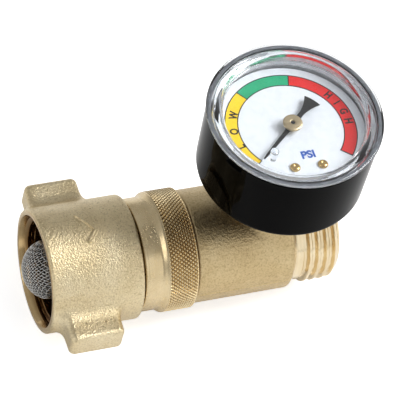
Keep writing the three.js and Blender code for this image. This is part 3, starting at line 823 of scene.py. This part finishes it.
make("dial_plate", *revolve(eased([(DIAL_TOP - 0.5, 0.95), (DIAL_TOP - 0.5, 18.6), (DIAL_TOP, 18.6),
                                   (DIAL_TOP, 0.95)], 0.08), 192, centre=(GAUGE_X, 0)),
     dial_white, "valve", "dial_face", ["dial"])
BAND_OUT, BAND_IN, LINE = 16.4, 13.0, 0.26
SCALE_START, LOW_END, HIGH_START, SCALE_END = 218.4, 127.6, 74.3, -41.2
BANDS = (("yellow", SCALE_START, LOW_END, band_yellow), ("green", LOW_END, HIGH_START, band_green),
         ("red", HIGH_START, SCALE_END, band_red))
z_ink = DIAL_TOP - 0.01
for band_name, start, end, ink in BANDS:
    make(f"dial_band_{band_name}", *arc_strip(BAND_IN, BAND_OUT, start, end, z_ink, DIAL_TOP + PRINT),
         ink, "valve", "dial_face", ["dial"])
lines = [arc_strip(low_radius, low_radius + LINE, SCALE_START, SCALE_END, z_ink, DIAL_TOP + 2 * PRINT)
         for low_radius in (BAND_OUT - LINE, BAND_IN)]
for angle in (SCALE_START, LOW_END, HIGH_START, SCALE_END):
    half_line = math.degrees(LINE / 2 / 14.7)
    lines.append(arc_strip(BAND_IN, BAND_OUT, angle - half_line, angle + half_line,
                           z_ink, DIAL_TOP + 2.2 * PRINT))
make("dial_lines", *join(*lines), ink_black, "valve", "dial_face", ["dial"])


def letters(name, placed, ink):
    """Upright capitals, each given as (text, radius, angle, height, baseline angle)."""
    pieces = []
    for text, radius, angle, height, baseline in placed:
        curve = bpy.data.curves.new("glyph", "FONT")
        curve.body = text
        curve.size = 1.0
        curve.align_x = "CENTER"
        curve.align_y = "CENTER"
        curve.extrude = 0.02
        curve.offset = 0.034
        holder = bpy.data.objects.new("glyph", curve)
        bpy.context.scene.collection.objects.link(holder)
        bpy.context.view_layer.update()
        mesh = bpy.data.meshes.new_from_object(
            holder.evaluated_get(bpy.context.evaluated_depsgraph_get()))
        points = np.array([v.co for v in mesh.vertices])
        faces = [tuple(p.vertices) for p in mesh.polygons]
        bpy.data.objects.remove(holder)
        bpy.data.curves.remove(curve)
        bpy.data.meshes.remove(mesh)
        low, high = points.min(0), points.max(0)
        points[:, :2] -= (low[:2] + high[:2]) / 2
        scale = height / (high[1] - low[1])
        flat = points[:, :2] * (scale * (0.8 if len(text) == 1 else 1.0), scale)
        turn = math.radians(baseline)
        x = flat[:, 0] * math.cos(turn) - flat[:, 1] * math.sin(turn)
        y = flat[:, 0] * math.sin(turn) + flat[:, 1] * math.cos(turn)
        at = math.radians(angle)
        z = np.where(points[:, 2] > 0, DIAL_TOP + 3 * PRINT, z_ink)
        pieces.append((np.stack([x + GAUGE_X + radius * math.cos(at), y + radius * math.sin(at), z],
                                1), faces))
    make(name, *join(*pieces), ink, "valve", "dial_face", ["dial"])


letters("dial_words", [(c, r, a, CAPITALS, a - 90) for c, r, a in (
    ("L", 14.3, 193), ("O", 14.3, 174), ("W", 14.3, 154),
    ("H", 14.8, 33), ("I", 14.8, 21.5), ("G", 14.8, 10), ("H", 14.8, -2))], ink_black)
letters("dial_unit", [("PSI", 8.53, -79.9, 2.3, 0)], ink_blue)


# ---- pointer and its hub ----
def along_needle(points):
    """Points given along and across the needle, turned to where it rests."""
    turn = math.radians(POINTER_REST)
    points = np.asarray(points, float)
    x = points[:, 0] * math.cos(turn) - points[:, 1] * math.sin(turn)
    y = points[:, 0] * math.sin(turn) + points[:, 1] * math.cos(turn)
    return np.stack([x + GAUGE_X, y], 1)


side_edge = [(13.0, 0.16), (11.6, 0.32), (8.0, 0.43), (4.0, 0.52), (2.2, 0.6), (1.6, 1.0), (0.8, 1.35),
             (-0.8, 1.35), (-1.8, 0.9), (-2.8, 0.66), (-4.2, 0.6), (-5.0, 0.66), (-6.0, 0.84),
             (-7.2, 1.15), (-8.4, 1.62), (-9.55, 2.2)]
tail_end = [(-9.85 * math.cos(t), 9.85 * math.sin(t)) for t in np.radians([12.6, 9, 6, 3, 0, -3, -6,
                                                                          -9, -12.6])]
needle = side_edge + tail_end + [(x, -y) for x, y in side_edge[::-1]]
make("pointer_blade", *slab(along_needle(needle), POINTER_LOW, POINTER_TOP, 0.05),
     pointer_black, "pointer", "pointer_black", ["pointer"])
hub_low = span("pointer_hub", 2)[0]
make("pointer_hub", *revolve(eased([
    (hub_low, 0.55), (hub_low, 2.3), (hub_low + 0.55, 2.42), (HUB_TOP - 0.12, 2.36),
    (HUB_TOP, 2.1), (HUB_TOP + 0.02, 0.62), (HUB_TOP - 0.25, 0.5)], 0.16), 96, centre=(GAUGE_X, 0)),
     hub_brass, "pointer", "turned_brass", ["pointer_hub"])
make("hub_centre", *revolve(eased([(hub_low, 0), (hub_low, 0.56), (HUB_TOP - 0.22, 0.5),
                                   (HUB_TOP - 0.3, 0)], 0.05, closed=False), 32, centre=(GAUGE_X, 0)),
     pointer_black, "pointer", "turned_brass", ["pointer_hub"])
make("hub_bush", *revolve(eased([(43.0, 0.65), (43.0, 1.3), (43.4, 1.42), (43.85, 1.3), (43.85, 0.65)],
                                0.1), 64, centre=(GAUGE_X, 0)),
     hidden_brass, "pointer", "turned_brass", ["hub_bush"])
for index, (sx, sy) in enumerate(DIAL_SCREWS, 1):
    make(f"dial_screw_{index}", *revolve(eased([
        (40.7, 0), (40.7, 0.55), (42.84, 0.55), (42.84, 1.25), (43.2, 1.25), (43.5, 1.0),
        (43.62, 0.5), (43.5, 0.32), (43.48, 0)], 0.1, closed=False), 48,
        centre=(GAUGE_X + sx, sy)),
         hidden_brass, "valve", "turned_brass", [f"dial_screw_{index}"])

# ---- finishes of the CAD pieces that keep their own shape ----
FINISH = {"turned_brass": hidden_brass, "stainless": steel, "rubber": rubber, "bronze": bronze,
          "cast_brass": body_cast, "black_case": case_black, "clear_lens": lens_clear,
          "dial_face": dial_white, "pointer_black": pointer_black}
slot_of = {row["node"]: row["material_slot"] for row in frame["record"]["subparts"]}
for node_name, node in frame["nodes"].items():
    finish = FINISH.get(slot_of.get(node_name), hidden_brass)
    for place in node.material_slots:
        place.link = "OBJECT"
        place.material = finish

# ---- floor, light and camera ----
mesh = bpy.data.meshes.new("floor")
floor_z = min(cad_box[0][2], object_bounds()[0][2]) - 0.0003
half_floor = 3.0
mesh.from_pydata([(x * half_floor, y * half_floor, floor_z)
                  for x, y in ((-1, -1), (1, -1), (1, 1), (-1, 1))], [], [(0, 1, 2, 3)])
floor = bpy.data.objects.new("floor", mesh)
bpy.context.scene.collection.objects.link(floor)
paper = Looks("white paper floor")
paper.colour(paper.ramp(paper.noise(12, 2), [(0.3, (0.93, 0.93, 0.93)), (0.7, (0.96, 0.96, 0.96))]))
paper.set(Roughness=0.9, Emission_Color=(1, 1, 1, 1))
seen = paper.node("ShaderNodeLightPath").outputs["Is Camera Ray"]
paper.link(paper.spread(seen, 0.0, 0.6, 0, 1), paper.shader.inputs["Emission Strength"])
mesh.materials.append(paper.material)

world = bpy.data.worlds.new("studio")
bpy.context.scene.world = world
world.use_nodes = True
world.node_tree.nodes["Background"].inputs[0].default_value = (1, 1, 1, 1)
world.node_tree.nodes["Background"].inputs[1].default_value = 0.42


def area_light(name, at, towards, size, power):
    """A soft rectangular light, in metres and watts."""
    lamp = bpy.data.lights.new(name, "AREA")
    lamp.shape = "RECTANGLE"
    lamp.size, lamp.size_y = size
    lamp.energy = power
    obj = bpy.data.objects.new(name, lamp)
    aim = Vector(towards) - Vector(at)
    obj.matrix_world = Matrix.Translation(at) @ aim.to_track_quat("-Z", "Y").to_matrix().to_4x4()
    bpy.context.scene.collection.objects.link(obj)


middle = (0.04, 0, 0.02)
area_light("key", (0.64, -0.08, 0.68), middle, (0.4, 0.42), 6.8)
area_light("front", (0.3, -0.95, 0.46), middle, (1.1, 0.95), 1.9)
area_light("left", (-0.85, -0.25, 0.5), middle, (0.5, 0.6), 1.6)

AZIMUTH, ELEVATION, ROLL = -29.42, 52.79, 14.84
TARGET, DISTANCE, LENS_MM = Vector((0.03942, 0, 0.01933)), 0.77321, 287.70
a, e, r = (math.radians(v) for v in (AZIMUTH, ELEVATION, ROLL))
back = Vector((math.sin(a) * math.cos(e), -math.cos(a) * math.cos(e), math.sin(e)))
level = Vector((math.cos(a), math.sin(a), 0))
right = math.cos(r) * level + math.sin(r) * back.cross(level)
up = back.cross(right)
camera_data = bpy.data.cameras.new("camera")
camera_data.lens, camera_data.sensor_width = LENS_MM, 36.0
camera_data.clip_start, camera_data.clip_end = 0.05, 10
camera = bpy.data.objects.new("camera", camera_data)
camera.matrix_world = Matrix.Translation(TARGET + back * DISTANCE) @ Matrix(
    (right, up, back)).transposed().to_4x4()
bpy.context.scene.collection.objects.link(camera)
bpy.context.scene.camera = camera
bpy.context.scene.view_settings.view_transform = "Standard"
